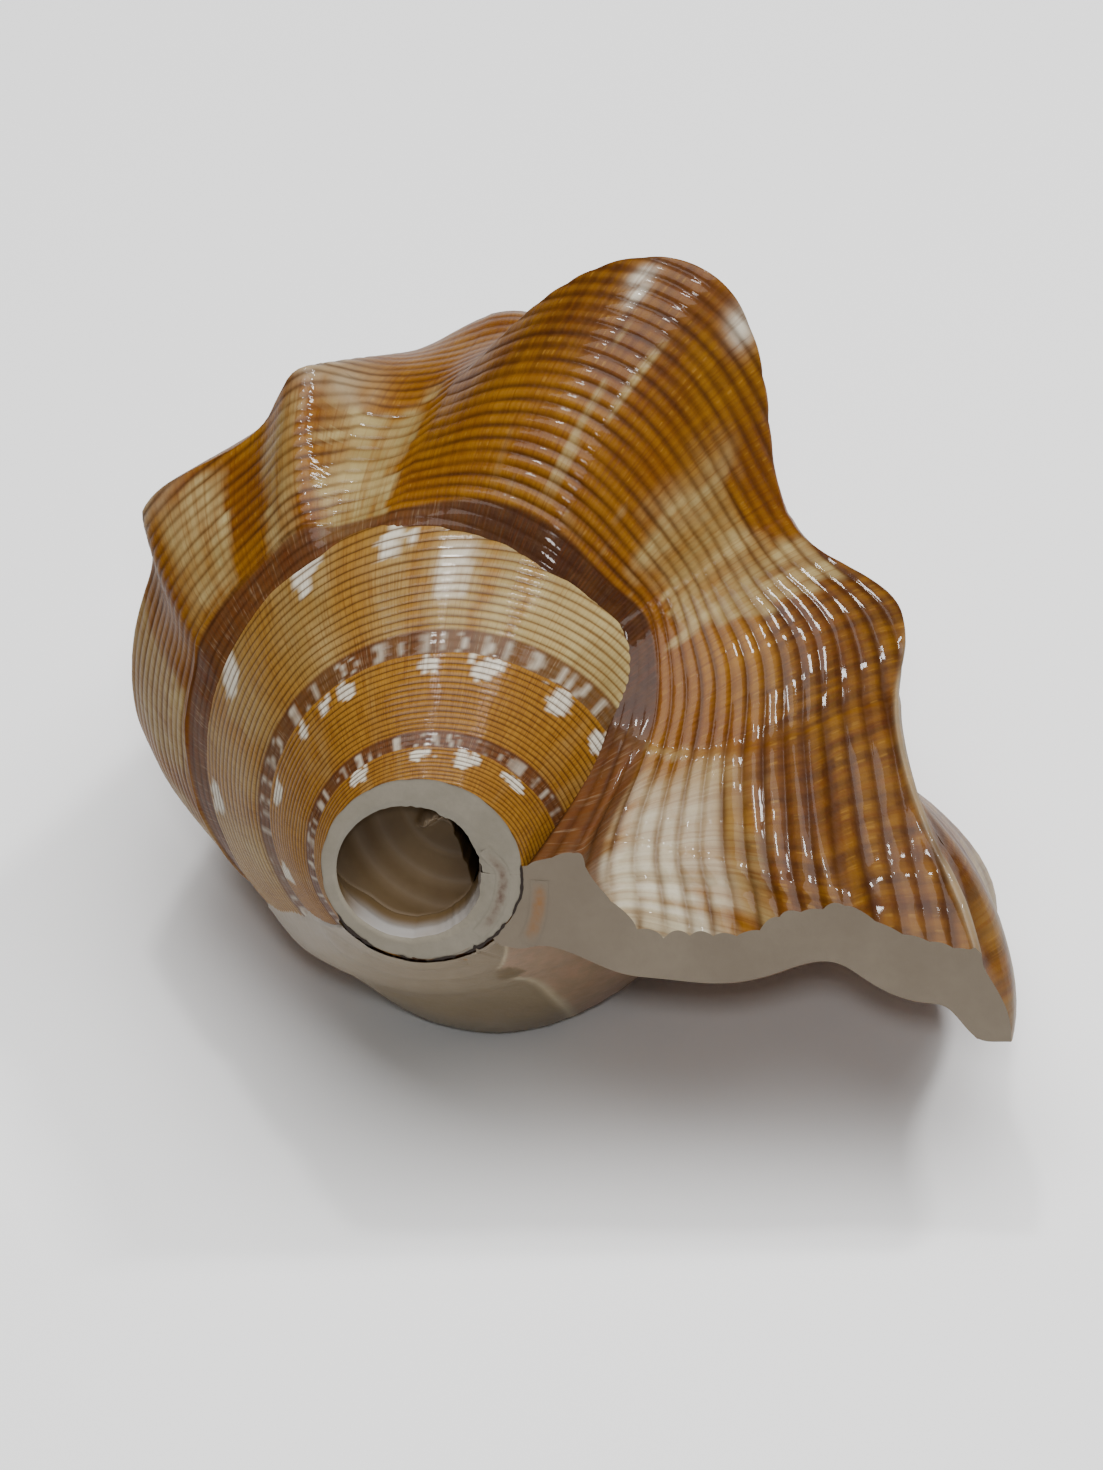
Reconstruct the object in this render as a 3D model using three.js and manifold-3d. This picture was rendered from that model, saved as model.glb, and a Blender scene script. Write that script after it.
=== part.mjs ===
// A winged conch shell with its tip sawn off as a blowing hole and its outer lip sawn flat.
//
// The shell is grown as a helicospiral.  An axial profile, from the suture over the ramp and the
// knobbed shoulder to the siphonal canal, turns about the coiling axis and grows by a fixed ratio
// per turn.  In the last third of a turn the suture climbs the spire and the wing of the outer lip
// rises beside it, up to the level of the saw cut.
//
// Growing frame: the coiling axis is Z, with the tip at the origin and the canal at -Z, and +Y is
// the back of the shell.  The group turns that frame into the resting one: opening down, back up,
// tip towards -Y.  Lengths are millimetres and angles are degrees.

import * as THREE from 'three';
import { mergeVertices } from 'three/addons/utils/BufferGeometryUtils.js';
import Module from 'manifold-3d';

// ---- Driving dimensions -------------------------------------------------------------------------

const WHORL_RATIO = 1.5;         // growth of every length per full turn
const SPIRE_HALF_ANGLE = 33;     // half angle of the cone that the suture follows
const LIP_AZIMUTH = -20;         // direction of the lip's edge about the axis
const LIP_SUTURE_RADIUS = 34;    // radius that the suture would have at the lip if it didn't climb
const SHELL_DEPTH = 147;         // from the unsawn tip to the end of the siphonal canal
const SAW_DEPTH = 17;            // from the unsawn tip down to the saw cut
const CANAL_RADIUS = 7;          // radius of the shell's end about the canal
const FIRST_ANGLE = -1400;       // growth angle where the solid starts, above the saw cut

const SHOULDER = 1.53;           // the older turns' shoulder, just past the next suture
const RAMP_BULGE = 0.06;         // swelling of the ramp, in suture radii
const WING_REACH = 20;           // how much further the wing stands out at the lip
const WING_REACH_START = -33;    // growth angle where it begins to
const SIDE_FULLNESS = 1.3;       // exponent of the side's taper, 1 for a straight cone
const KNOB_FADE = 6;             // how fast a knob fades down the side

const WALL = 3.2;                // wall of the body whorl
const WALL_SHARE = 0.13;         // wall of the small whorls, in suture radii
const WING_WALL = 6.6;           // wall of the wing, measured down from its ramp
const PASSAGE_START = -800;      // growth angle where the coiled passage begins
const PASSAGE_OVERRUN = 10;      // and how far past the lip its cut runs
const PASSAGE_RAMP = [0.2, 0.35, 0.5, 0.65, 0.8, 0.93];
const PASSAGE_SIDE = [1.12, 1.25, 1.4, 1.55, 1.7, 1.85];
const BELLY_SIDE = [1.12, 1.25, 1.45, 1.65, 1.85];
const BELLY_RAMP = [0, 0.25, 0.5, 0.75];
const ROOF_WALLS = 1.5;          // the roof's wall, in walls
const SIDE_WALLS = 1.2;          // and the side's
const ROOF_START = -60;          // growth angles between which the roof takes on the wing's wall
const ROOF_FULL = -10;
const CLIMB_FULL = 0.6;          // share of its regular radius at which the suture has climbed fully
const CLIMB_NONE = 0.97;         // and at which it hasn't begun
const CANAL_START = -70;         // growth angle where the passage begins to open into the canal

const CANAL_DROP = 30;           // how far the open canal runs past the passage's end at the lip
const CANAL_FLOOR = 3.4;         // distance of the canal's floor from the axis

const BORE_RADIUS = 8.2;         // blowing hole
const BORE_DEPTH = 27;           // its floor, from the unsawn tip
const BORE_CENTRE = { x: -1.4, y: -0.3 };
const BREACH_RADIUS = 3.6;       // way from the blowing hole into the coiled passage
const BREACH_START = { x: 3, y: 0, z: -23 };
const BREACH_END = { x: 14, y: 4, z: -32 };
const CORE_RADIUS = 2.6;         // solid columella
const CORE_DEPTH = 132;          // and its end, from the unsawn tip
const AXIS_GAP = 1.5;            // the swept solids stop this far from the axis, inside the core

// Knobs of the last turn, and the dip before the largest: growth angle, height, and half widths
// before and after.
const KNOBS = [
  { at: -173.4, height: 4.2, before: 4.5, after: 12 },
  { at: -141, height: 5.5, before: 7, after: 4 },
  { at: -122.5, height: -9, before: 16, after: 16 },
  { at: -90.4, height: 16, before: 23.3, after: 19 },
  { at: -41, height: 9.1, before: 10.6, after: 18.8 },
];

// Broad swellings of the shoulder between the knobs.
const SWELLINGS = [
  { at: -205, height: 1.5, before: 45, after: 45 },
  { at: -105, height: 3.5, before: 40, after: 40 },
];

// Where the shoulder is lifted above its regular place, and by how much in all.
const LIFTS = [
  { amount: 14, from: -113, to: -38 },
  { amount: 36, from: -48, to: -3 },
  { amount: 7.6, from: -42, to: -8 },
];
const LIP_LIFT_START = -14;      // past this the wing also rises evenly
const LIP_LIFT = 0.5;            // by this much per degree

// The suture climbs the spire behind the lip, in shares of its regular radius.
const CLIMBS = [
  { amount: 0.15, from: -128, to: -63 },
  { amount: 0.55, from: -65, to: -15 },
];

// Where the last turn's shoulder draws in and rises, in suture radii.
const NARROWINGS = [{ amount: 0.15, from: -330, to: -190 }];
const BELLY_FLAT = { at: -246, height: 0.36, before: 34, after: 24 };
const RAISINGS = [
  { amount: 0.2, from: -345, to: -295 },
  { amount: -0.09, from: -290, to: -220 },
];

// Ribs and trough along the wing's ramp, placed by s from the suture, 0, to the edge, 1.
const INNER_RIB = { at: 0.13, height: 4.4, before: 0.12, after: 0.055 };
const OUTER_RIB = { at: 0.76, height: 2.4, before: 0.07, after: 0.05 };
const TROUGH = { at: 0.38, depth: 4.4, halfWidth: 0.2 };
const RELIEF_START = -45;
const INNER_RIB_FULL = -25;
const OUTER_RIB_FULL = -12;

// Flares of the side, placed by u from the shoulder, 0, to the canal's end, 1.
const WING_FLARE = { at: 0.31, height: 11.6, before: 0.13, after: 0.22 };
const WING_FLARE_START = -28;
const WING_FLARE_FULL = -7;
const CORNER_FLARE = { at: 0.08, height: 3.8, before: 0.06, after: 0.08 };
const CORNER_START = -24;
const CORNER_FULL = -9;
const SIDE_KEEL = { at: 0.33, height: 3.5, before: 0.12, after: 0.14 };
const SIDE_KEEL_SPAN = { at: -120, height: 1, before: 12, after: 12 };

// The lower part of the lip runs ahead of its top, so the growth lines and the passage lean over.
const LEAN = -16;                // degrees about the axis, all of it below LEAN_END
const LEAN_START = -35;          // height where it begins
const LEAN_END = -85;

// Resting attitude, in which the shell lies on its lip's edge and its belly.
const REST_ROLL = -1.3;          // about the coiling axis
const REST_PITCH = 18.7;         // sawn end up

// Where the profile is sampled: s is 0 at the suture, 1 on the shoulder and 2 at the canal's end.
const RAMP_POINTS = [0, 0.07, 0.14, 0.22, 0.38, 0.55, 0.67, 0.76, 0.87, 1];
const SIDE_POINTS = [1.12, 1.24, 1.36, 1.5, 1.65, 1.8, 1.9, 2];
const LAST_TURN = -360;          // growth angle where the last turn begins
const BODY_STEP = 7.5;           // degrees between profiles on the last turn
const SPIRE_STEP = 15;           // and on the older turns
const WEDGE = 150;               // largest turn that one swept solid takes

// ---- Growth laws --------------------------------------------------------------------------------

const radians = THREE.MathUtils.degToRad;
const smooth = THREE.MathUtils.smoothstep;
const coneSlope = 1 / Math.tan(radians(SPIRE_HALF_ANGLE));

const growth = (angle) => WHORL_RATIO ** (angle / 360);
const regularRadius = (angle) => LIP_SUTURE_RADIUS * growth(angle);

// A rounded hump with its own half width on each side.
function hump({ at, height, before, after }, x) {
  const width = x < at ? before : after;
  return height * Math.exp(-(((x - at) / width) ** 2));
}

function humps(list, x) {
  return list.reduce((sum, item) => sum + hump(item, x), 0);
}

// The sum of gradual changes, each of which comes about between two growth angles.
function changes(list, angle) {
  return list.reduce((sum, { amount, from, to }) => sum + amount * smooth(angle, from, to), 0);
}

function suture(angle) {
  const r = regularRadius(angle) * (1 - changes(CLIMBS, angle));
  return { r, z: -r * coneSlope };
}

function shoulder(angle) {
  const regular = regularRadius(angle);
  const narrowing = changes(NARROWINGS, angle) + hump(BELLY_FLAT, angle);
  const reach = WING_REACH * smooth(angle, WING_REACH_START, -1) + humps(SWELLINGS, angle);
  const lift = changes(LIFTS, angle) + LIP_LIFT * Math.max(angle - LIP_LIFT_START, 0);
  return {
    r: (SHOULDER - narrowing) * regular + reach + humps(KNOBS, angle),
    z: -(SHOULDER - changes(RAISINGS, angle)) * coneSlope * regular + lift,
  };
}

// The canal's end: it moves slowly on the last turn and by the whorl ratio before it.
function canalEnd(angle) {
  const older = growth(Math.min(angle + 360, 0));
  const lastTurn = 1 - 0.15 * THREE.MathUtils.clamp(-angle / 360, 0, 1);
  return { r: CANAL_RADIUS * older, z: -SHELL_DEPTH * lastTurn * older };
}

// Height of the wing's ribs and trough above its straight ramp.
function wingRelief(angle, s) {
  const trough = TROUGH.depth * Math.exp(-(((s - TROUGH.at) / TROUGH.halfWidth) ** 4));
  const outer = (hump(OUTER_RIB, s) - trough) * smooth(angle, RELIEF_START, OUTER_RIB_FULL);
  return hump(INNER_RIB, s) * smooth(angle, RELIEF_START, INNER_RIB_FULL) + outer;
}

// The outer profile at one growth angle, as {r, z}: s runs 0..1 up the ramp and 1..2 down the side.
function profilePoint(angle, s) {
  const top = suture(angle);
  const knob = shoulder(angle);
  const end = canalEnd(angle);
  if (s <= 1) {
    const bulge = Math.sin(Math.PI * s) * RAMP_BULGE * regularRadius(angle);
    const z = top.z + (knob.z - top.z) * s + bulge + wingRelief(angle, s);
    return { r: top.r + (knob.r - top.r) * s, z };
  }
  const u = s - 1;
  const fullness = knob.r - humps(KNOBS, angle) * (1 - Math.exp(-KNOB_FADE * u)) - end.r;
  const flare = hump(WING_FLARE, u) * smooth(angle, WING_FLARE_START, WING_FLARE_FULL);
  const corner = hump(CORNER_FLARE, u) * smooth(angle, CORNER_START, CORNER_FULL);
  const margin = flare + corner + hump(SIDE_KEEL, u) * hump(SIDE_KEEL_SPAN, angle);
  return {
    r: end.r + fullness * (1 - u ** SIDE_FULLNESS) + margin,
    z: knob.z + (end.z - knob.z) * u,
  };
}

// Degrees that one level of the shell is turned about the axis.
function lean(z) {
  return LEAN * smooth(-z, -LEAN_START, -LEAN_END);
}

// ---- Profiles -----------------------------------------------------------------------------------

// The whole axial section, closed along the axis.
function outerSection(angle) {
  const section = [...RAMP_POINTS, ...SIDE_POINTS].map((s) => profilePoint(angle, s));
  section.unshift({ r: AXIS_GAP, z: section[0].z });
  section.push({ r: AXIS_GAP, z: section[section.length - 1].z });
  return section;
}

// The passage that the animal lived in: inside the outer wall, outside the turn before.
function passageSection(angle) {
  const { lerp } = THREE.MathUtils;
  const regular = regularRadius(angle);
  const wall = Math.min(WALL, WALL_SHARE * regular);
  const roof = lerp(wall * ROOF_WALLS, WING_WALL, smooth(angle, ROOF_START, ROOF_FULL));
  const outer = [];
  for (const s of PASSAGE_RAMP) {
    const p = profilePoint(angle, s);
    outer.push({ r: p.r - wall * s, z: p.z - roof });
  }
  for (const s of PASSAGE_SIDE) {
    const p = profilePoint(angle, s);
    outer.push({ r: p.r - wall * SIDE_WALLS, z: p.z });
  }
  const last = outer[outer.length - 1];
  const canal = last.z - CANAL_DROP * smooth(angle, CANAL_START, ROOF_FULL);
  outer.push({ r: last.r - 1.2, z: canal - 3 });

  // The floor of the passage is the turn before; where the suture has climbed it is left whole.
  const top = suture(angle);
  const climbed = 1 - smooth(top.r / regular, CLIMB_FULL, CLIMB_NONE);
  const first = top.r + lerp(-0.1, 1.2, climbed) * wall;
  const start = { r: first, z: -first * coneSlope - wall * (1 - climbed) };
  const side = profilePoint(angle - 360, 1 + 0.08 * (1 - climbed));
  const bulge = lerp(0.1 * wall, RAMP_BULGE * regular, climbed);
  const inner = BELLY_RAMP.map((share) => ({
    r: lerp(start.r, side.r, share),
    z: lerp(start.z, side.z, share) + bulge * Math.sin(Math.PI * share),
  }));
  inner.push(...BELLY_SIDE.map((s) => profilePoint(angle - 360, s)));
  inner.push({ r: CANAL_FLOOR * growth(angle), z: canal - 1 });
  return outer.concat(inner.reverse());
}

// ---- Solids -------------------------------------------------------------------------------------

const wasm = await Module();
wasm.setup();

function toManifold(geometry) {
  const bare = geometry.clone();
  bare.deleteAttribute('normal');
  bare.deleteAttribute('uv');
  const merged = mergeVertices(bare);
  const mesh = new wasm.Mesh({
    numProp: 3,
    vertProperties: new Float32Array(merged.attributes.position.array),
    triVerts: new Uint32Array(merged.index.array),
  });
  return new wasm.Manifold(mesh);
}

function toGeometry(manifold) {
  const mesh = manifold.getMesh();
  const geometry = new THREE.BufferGeometry();
  geometry.setAttribute('position', new THREE.BufferAttribute(mesh.vertProperties, 3));
  geometry.setIndex(new THREE.BufferAttribute(mesh.triVerts, 1));
  geometry.computeVertexNormals();
  return geometry;
}

// Triangles that fill a closed outline, turning the same way as the outline does.
function fill(section) {
  const outline = section.map(({ r, z }) => new THREE.Vector2(r, z));
  const sense = Math.sign(THREE.ShapeUtils.area(outline));
  return THREE.ShapeUtils.triangulateShape(outline, []).map(([a, b, c]) => {
    const area = THREE.ShapeUtils.area([outline[a], outline[b], outline[c]]);
    return Math.sign(area) === sense ? [a, b, c] : [a, c, b];
  });
}

// Sweeps a section about the axis from one growth angle to another, with both ends closed.
// The section turns clockwise, seen with r to the right and z up.
function sweep(sectionAt, from, to, step) {
  const count = Math.max(1, Math.round((to - from) / step));
  const sections = [];
  for (let i = 0; i <= count; i += 1) {
    const angle = from + ((to - from) * i) / count;
    sections.push({ azimuth: LIP_AZIMUTH - angle, points: sectionAt(angle) });
  }
  const width = sections[0].points.length;
  const positions = [];
  for (const { azimuth, points } of sections) {
    for (const { r, z } of points) {
      const turned = radians(azimuth + lean(z));
      positions.push(r * Math.cos(turned), r * Math.sin(turned), z);
    }
  }
  const index = [];
  for (let i = 0; i < count; i += 1) {
    for (let j = 0; j < width; j += 1) {
      const a = i * width + j;
      const b = i * width + ((j + 1) % width);
      index.push(a, a + width, b, b, a + width, b + width);
    }
  }
  for (const [a, b, c] of fill(sections[0].points)) {
    index.push(a, b, c);
  }
  const last = count * width;
  for (const [a, b, c] of fill(sections[count].points)) {
    index.push(last + a, last + c, last + b);
  }
  const geometry = new THREE.BufferGeometry();
  geometry.setAttribute('position', new THREE.Float32BufferAttribute(positions, 3));
  geometry.setIndex(index);
  return toManifold(geometry);
}

function sweepInWedges(sectionAt, from, to, step) {
  const wedges = Math.ceil((to - from) / WEDGE);
  let solid = null;
  for (let i = 0; i < wedges; i += 1) {
    const start = from + ((to - from) * i) / wedges;
    const end = from + ((to - from) * (i + 1)) / wedges;
    const wedge = sweep(sectionAt, start, end, step);
    solid = solid ? solid.add(wedge) : wedge;
  }
  return solid;
}

function cylinderBetween(from, to, radius, sides) {
  const geometry = new THREE.CylinderGeometry(radius, radius, from.distanceTo(to), sides);
  const direction = new THREE.Vector3().subVectors(to, from).normalize();
  const turn = new THREE.Quaternion().setFromUnitVectors(new THREE.Vector3(0, 1, 0), direction);
  geometry.applyQuaternion(turn);
  geometry.translate(...new THREE.Vector3().addVectors(from, to).multiplyScalar(0.5).toArray());
  return toManifold(geometry);
}

// Leaves out the slivers of no volume that the cuts leave where two surfaces coincide.
function largest(manifold) {
  const pieces = manifold.decompose();
  pieces.sort((a, b) => b.volume() - a.volume());
  return pieces[0];
}

function makeShell() {
  const core = cylinderBetween(
    new THREE.Vector3(0, 0, -CORE_DEPTH),
    new THREE.Vector3(0, 0, -SAW_DEPTH + 1),
    CORE_RADIUS,
    10,
  );
  let shell = core.add(sweepInWedges(outerSection, FIRST_ANGLE, LAST_TURN, SPIRE_STEP));
  shell = shell.add(sweepInWedges(outerSection, LAST_TURN, 0, BODY_STEP));

  shell = shell.subtract(sweepInWedges(passageSection, PASSAGE_START, LAST_TURN, SPIRE_STEP));
  shell = shell.subtract(sweepInWedges(passageSection, LAST_TURN, PASSAGE_OVERRUN, BODY_STEP));

  const bore = cylinderBetween(
    new THREE.Vector3(BORE_CENTRE.x, BORE_CENTRE.y, -BORE_DEPTH),
    new THREE.Vector3(BORE_CENTRE.x, BORE_CENTRE.y, 0),
    BORE_RADIUS,
    32,
  );
  const breach = cylinderBetween(
    new THREE.Vector3(BREACH_START.x, BREACH_START.y, BREACH_START.z),
    new THREE.Vector3(BREACH_END.x, BREACH_END.y, BREACH_END.z),
    BREACH_RADIUS,
    14,
  );
  const sawSide = 2 * SHELL_DEPTH;
  const offcut = new THREE.BoxGeometry(sawSide, sawSide, sawSide);
  offcut.translate(0, 0, sawSide / 2 - SAW_DEPTH);
  const cut = shell.subtract(bore).subtract(breach).subtract(toManifold(offcut));
  return largest(cut);
}

// ---- Part ---------------------------------------------------------------------------------------

const shellMaterial = new THREE.MeshStandardMaterial({
  color: 0xb87a3c,
  roughness: 0.25,
  metalness: 0,
});

const geometry = toGeometry(makeShell());
geometry.rotateZ(radians(REST_ROLL));
geometry.rotateX(radians(90 - REST_PITCH));
geometry.computeBoundingBox();
const box = geometry.boundingBox;
geometry.translate(-(box.min.x + box.max.x) / 2, -(box.min.y + box.max.y) / 2, -box.min.z);
geometry.computeVertexNormals();

const shell = new THREE.Mesh(geometry, shellMaterial);
shell.name = 'shell';

const part = new THREE.Group();
part.add(shell);

export default part;
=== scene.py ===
"""A winged conch shell, its tip sawn off for blowing, lying on its mouth.

The skin is worked out in the growing frame: millimetres, the coiling axis is Z with the unsawn tip
at the origin, and +Y is the back.  Every point has a growth angle (0 at the lip, older turns below)
and a profile place s (0 at the suture, 1 on the shoulder, 2 at the canal's end).
"""

import math

import bmesh
import bpy
import numpy as np
from mathutils import Matrix, Vector
from mathutils.geometry import delaunay_2d_cdt


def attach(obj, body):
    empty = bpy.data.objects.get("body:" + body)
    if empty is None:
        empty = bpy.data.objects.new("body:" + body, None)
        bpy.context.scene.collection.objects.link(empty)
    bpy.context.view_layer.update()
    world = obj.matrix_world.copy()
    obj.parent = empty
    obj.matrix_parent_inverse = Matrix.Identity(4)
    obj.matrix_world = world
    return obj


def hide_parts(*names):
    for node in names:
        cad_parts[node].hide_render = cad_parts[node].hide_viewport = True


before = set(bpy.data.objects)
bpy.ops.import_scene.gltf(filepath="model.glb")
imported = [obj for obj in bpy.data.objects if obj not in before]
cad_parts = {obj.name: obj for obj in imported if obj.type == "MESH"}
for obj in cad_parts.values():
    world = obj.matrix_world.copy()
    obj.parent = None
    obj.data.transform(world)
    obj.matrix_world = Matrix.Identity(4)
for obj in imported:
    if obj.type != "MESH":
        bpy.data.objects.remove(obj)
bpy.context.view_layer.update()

# ---- Growth law ---------------------------------------------------------------------------------

WHORL_RATIO = 1.5
SPIRE_HALF_ANGLE = 33.0
LIP_AZIMUTH = -20.0
LIP_SUTURE_RADIUS = 34.0
SHELL_DEPTH = 147.0
SAW = -17.0               # height of the saw plane
CANAL_RADIUS = 7.0
CANAL_LENGTHENING = 0.15  # how much longer the canal got over the last turn
SHOULDER = 1.53           # regular shoulder, in suture radii
FIRST_ANGLE = -1400.0

# Smooth changes: amount, and the growth angles between which it comes in.
CLIMBS = [(0.15, -128, -63), (0.55, -65, -15)]
WING_REACH = [(20, -33, -1)]
LIFTS = [(14, -113, -38), (36, -48, -3), (7.6, -42, -8)]
NARROWINGS = [(0.15, -330, -190)]
RAISINGS = [(0.2, -345, -295), (-0.09, -290, -220)]
CORNER_LIFT = 0.5         # per degree of growth
CORNER_LIFT_START = -14

# Humps: place, height, widths before and after.  KNOBS, SWELLINGS and WAIST are placed by
# growth angle, the ribs by the share of the ramp, and the flares and the keel by that of the side.
KNOBS = [
    (-173.4, 4.2, 4.5, 12),
    (-141, 5.5, 7, 4),
    (-122.5, -9, 16, 16),
    (-90.4, 16, 23.3, 19),
    (-41, 9.1, 10.6, 18.8),
]
SWELLINGS = [(-205, 1.5, 45, 45), (-105, 3.5, 40, 40)]
WAIST = [(-246, 0.36, 34, 24)]
INNER_RIB = [(0.13, 4.4, 0.12, 0.055)]
OUTER_RIB = [(0.76, 2.4, 0.07, 0.05)]
WING_FLARE = [(0.31, 11.6, 0.13, 0.22)]
CORNER_FLARE = [(0.08, 3.8, 0.06, 0.08)]
SIDE_KEEL = [(0.33, 3.5, 0.12, 0.14)]
TROUGH_PLACE = 0.38
TROUGH_DEPTH = 4.4
TROUGH_WIDTH = 0.2

RAMP_FULLNESS = 0.06
SIDE_ROUNDNESS = 1.3
KNOB_FADE = 6             # how fast a knob fades down the side
LEAN = -16.0              # degrees by which the front of the shell is twisted
LEAN_START = 35
LEAN_STOP = 85
BORE_CENTRE = (-1.4, -0.3)
BORE_RADIUS = 8.2

REST_ROLL = -1.3
REST_PITCH = 18.7
REST_SHIFT = Vector((-12.512, -73.5941, 52.2429))

CONE = 1 / math.tan(math.radians(SPIRE_HALF_ANGLE))


def smooth(x, a, b):
    t = np.clip((x - a) / (b - a), 0, 1)
    return t * t * (3 - 2 * t)


def hump(x, centre, before, after):
    width = np.where(x < centre, before, after)
    return np.exp(-(((x - centre) / width) ** 2))


def changes(angle, steps):
    return sum(amount * smooth(angle, start, stop) for amount, start, stop in steps)


def humps(x, bumps):
    return sum(height * hump(x, centre, *widths) for centre, height, *widths in bumps)


def growth(angle):
    return WHORL_RATIO ** (angle / 360.0)


def regular_radius(angle):
    return LIP_SUTURE_RADIUS * growth(angle)


def suture(angle):
    r = regular_radius(angle) * (1 - changes(angle, CLIMBS))
    return r, -r * CONE


def shoulder(angle):
    reach = changes(angle, WING_REACH) + humps(angle, SWELLINGS)
    lift = changes(angle, LIFTS) + CORNER_LIFT * np.maximum(angle - CORNER_LIFT_START, 0)
    narrowing = changes(angle, NARROWINGS) + humps(angle, WAIST)
    regular = regular_radius(angle)
    r = (SHOULDER - narrowing) * regular + reach + humps(angle, KNOBS)
    return r, -(SHOULDER - changes(angle, RAISINGS)) * CONE * regular + lift


def canal_end(angle):
    older = growth(np.minimum(angle + 360, 0))
    last = 1 - CANAL_LENGTHENING * np.clip(-angle / 360, 0, 1)
    return CANAL_RADIUS * older, -SHELL_DEPTH * last * older


def wing_relief(angle, s):
    inner = humps(s, INNER_RIB) * smooth(angle, -45, -25)
    trough = -TROUGH_DEPTH * np.exp(-(((s - TROUGH_PLACE) / TROUGH_WIDTH) ** 4))
    return inner + (trough + humps(s, OUTER_RIB)) * smooth(angle, -45, -12)


def profile(angle, s):
    r0, z0 = suture(angle)
    r1, z1 = shoulder(angle)
    r2, z2 = canal_end(angle)
    t = np.clip(s, 0, 1)
    u = np.clip(s - 1, 0, 1)
    bulge = RAMP_FULLNESS * regular_radius(angle) * np.sin(np.pi * t)
    ramp_z = z0 + (z1 - z0) * t + bulge + wing_relief(angle, t)
    fullness = r1 - humps(angle, KNOBS) * (1 - np.exp(-KNOB_FADE * u)) - r2
    margin = humps(u, WING_FLARE) * smooth(angle, -28, -7)
    margin = margin + humps(u, CORNER_FLARE) * smooth(angle, -24, -9)
    margin = margin + humps(u, SIDE_KEEL) * hump(angle, -120, 12, 12)
    side_r = r2 + fullness * (1 - u**SIDE_ROUNDNESS) + margin * smooth(u, 0, 0.05)
    on_side = s > 1
    r = np.where(on_side, side_r, r0 + (r1 - r0) * t)
    return r, np.where(on_side, z1 + (z2 - z1) * u, ramp_z)


def lean(z):
    return LEAN * smooth(-z, LEAN_START, LEAN_STOP)


def skin(angle, s):
    """Points of the bare skin, without cords."""
    r, z = profile(angle, s)
    a = np.radians(LIP_AZIMUTH - angle + lean(z))
    return np.stack([r * np.cos(a), r * np.sin(a), z], -1)


def skin_normal(angle, s):
    da = 0.2
    ds = 0.002
    along = skin(angle + da, s) - skin(angle - da, s)
    across = skin(angle, s + ds) - skin(angle, s - ds)
    n = np.cross(across, along)
    n /= np.linalg.norm(n, axis=-1, keepdims=True) + 1e-12
    p = skin(angle, s)
    outward = p / (np.linalg.norm(p[..., :2], axis=-1, keepdims=True) + 1e-9)
    outward[..., 2] = 0.6
    flip = np.sign((n * outward).sum(-1, keepdims=True))
    return n * np.where(flip == 0, 1, flip)


# ---- Noise --------------------------------------------------------------------------------------

LATTICE = np.random.RandomState(7).rand(256, 256)


def noise(x, y, seed=0):
    """Smooth value noise from 0 to 1, one cell per unit."""
    x = np.asarray(x, float) + 17.3 * seed
    y = np.asarray(y, float) + 31.7 * seed
    x, y = np.broadcast_arrays(x, y)
    i = np.floor(x).astype(int)
    j = np.floor(y).astype(int)
    u = x - i
    v = y - j
    u = u * u * (3 - 2 * u)
    v = v * v * (3 - 2 * v)
    a = LATTICE[i % 256, j % 256] * (1 - u) + LATTICE[(i + 1) % 256, j % 256] * u
    b = LATTICE[i % 256, (j + 1) % 256] * (1 - u) + LATTICE[(i + 1) % 256, (j + 1) % 256] * u
    return a * (1 - v) + b * v


def layered(x, y, seed=0, octaves=3):
    total = 0
    weight = 0
    for k in range(octaves):
        total = total + noise(x * 2**k, y * 2**k, seed + k) / 2**k
        weight += 1 / 2**k
    return total / weight


# ---- Relief and markings ------------------------------------------------------------------------

CORDS = 17                # spiral cords on a ramp without knobs
SIDE_CORDS = 26           # and on a side
RAMP_SHARE = 0.53         # width of such a ramp, in suture radii
CORD_HEIGHT = 0.11        # millimetres, as are the heights below
LAST_TURN_EXTRA = 0.02
LARGE_KNOB_EXTRA = 0.09
LIP_EXTRA = 0.14
THREAD_HEIGHT = 0.1
RIBLET_HEIGHT = 0.07
RIDGE_HEIGHT = 0.3
KEEL_HEIGHT = 0.5
SEAM_DEPTH = 0.3
UNEVENNESS = 0.45
BAR_COUNT = 52            # bars and riblets on each turn's band


def last_turn(angle):
    return smooth(angle, -372, -358)


def cord_place(angle, s):
    """Counts the cords outwards from the suture; there are more where the ramp is wider."""
    regular = regular_radius(angle)
    width = np.maximum(shoulder(angle)[0] - suture(angle)[0], 0.3 * regular)
    spread = (width / (RAMP_SHARE * regular)) ** 0.4 * (1 - 0.28 * smooth(angle, -65, -22))
    wander = 0.5 * (layered(angle / 30, s * 3, 3) - 0.5)
    ramp = s * CORDS * spread
    side = CORDS * (1 + (spread - 1) * np.exp(-9 * np.maximum(s - 1, 0))) + (s - 1) * SIDE_CORDS
    return np.where(s < 1, ramp, side) + wander


def band_edge(angle):
    """Outer edge of the smooth or barred band along the suture."""
    on_last = 0.24 - 0.09 * smooth(angle, -160, -110) + 0.06 * smooth(angle, -75, -55)
    return np.where(angle > -360, on_last, 0.2)


def bar_wave(angle):
    """Wave of the bars that cross the band of the older turns."""
    return np.sin(np.radians(angle) * BAR_COUNT + 7 * noise(angle / 6, 0, 4))


def halt_line(angle, s):
    """Growth angle along the growth lines, which hang back near the suture of the wing."""
    return angle + 40 * np.maximum(0.65 - s, 0) ** 2 * smooth(angle, -70, -45)


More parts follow.
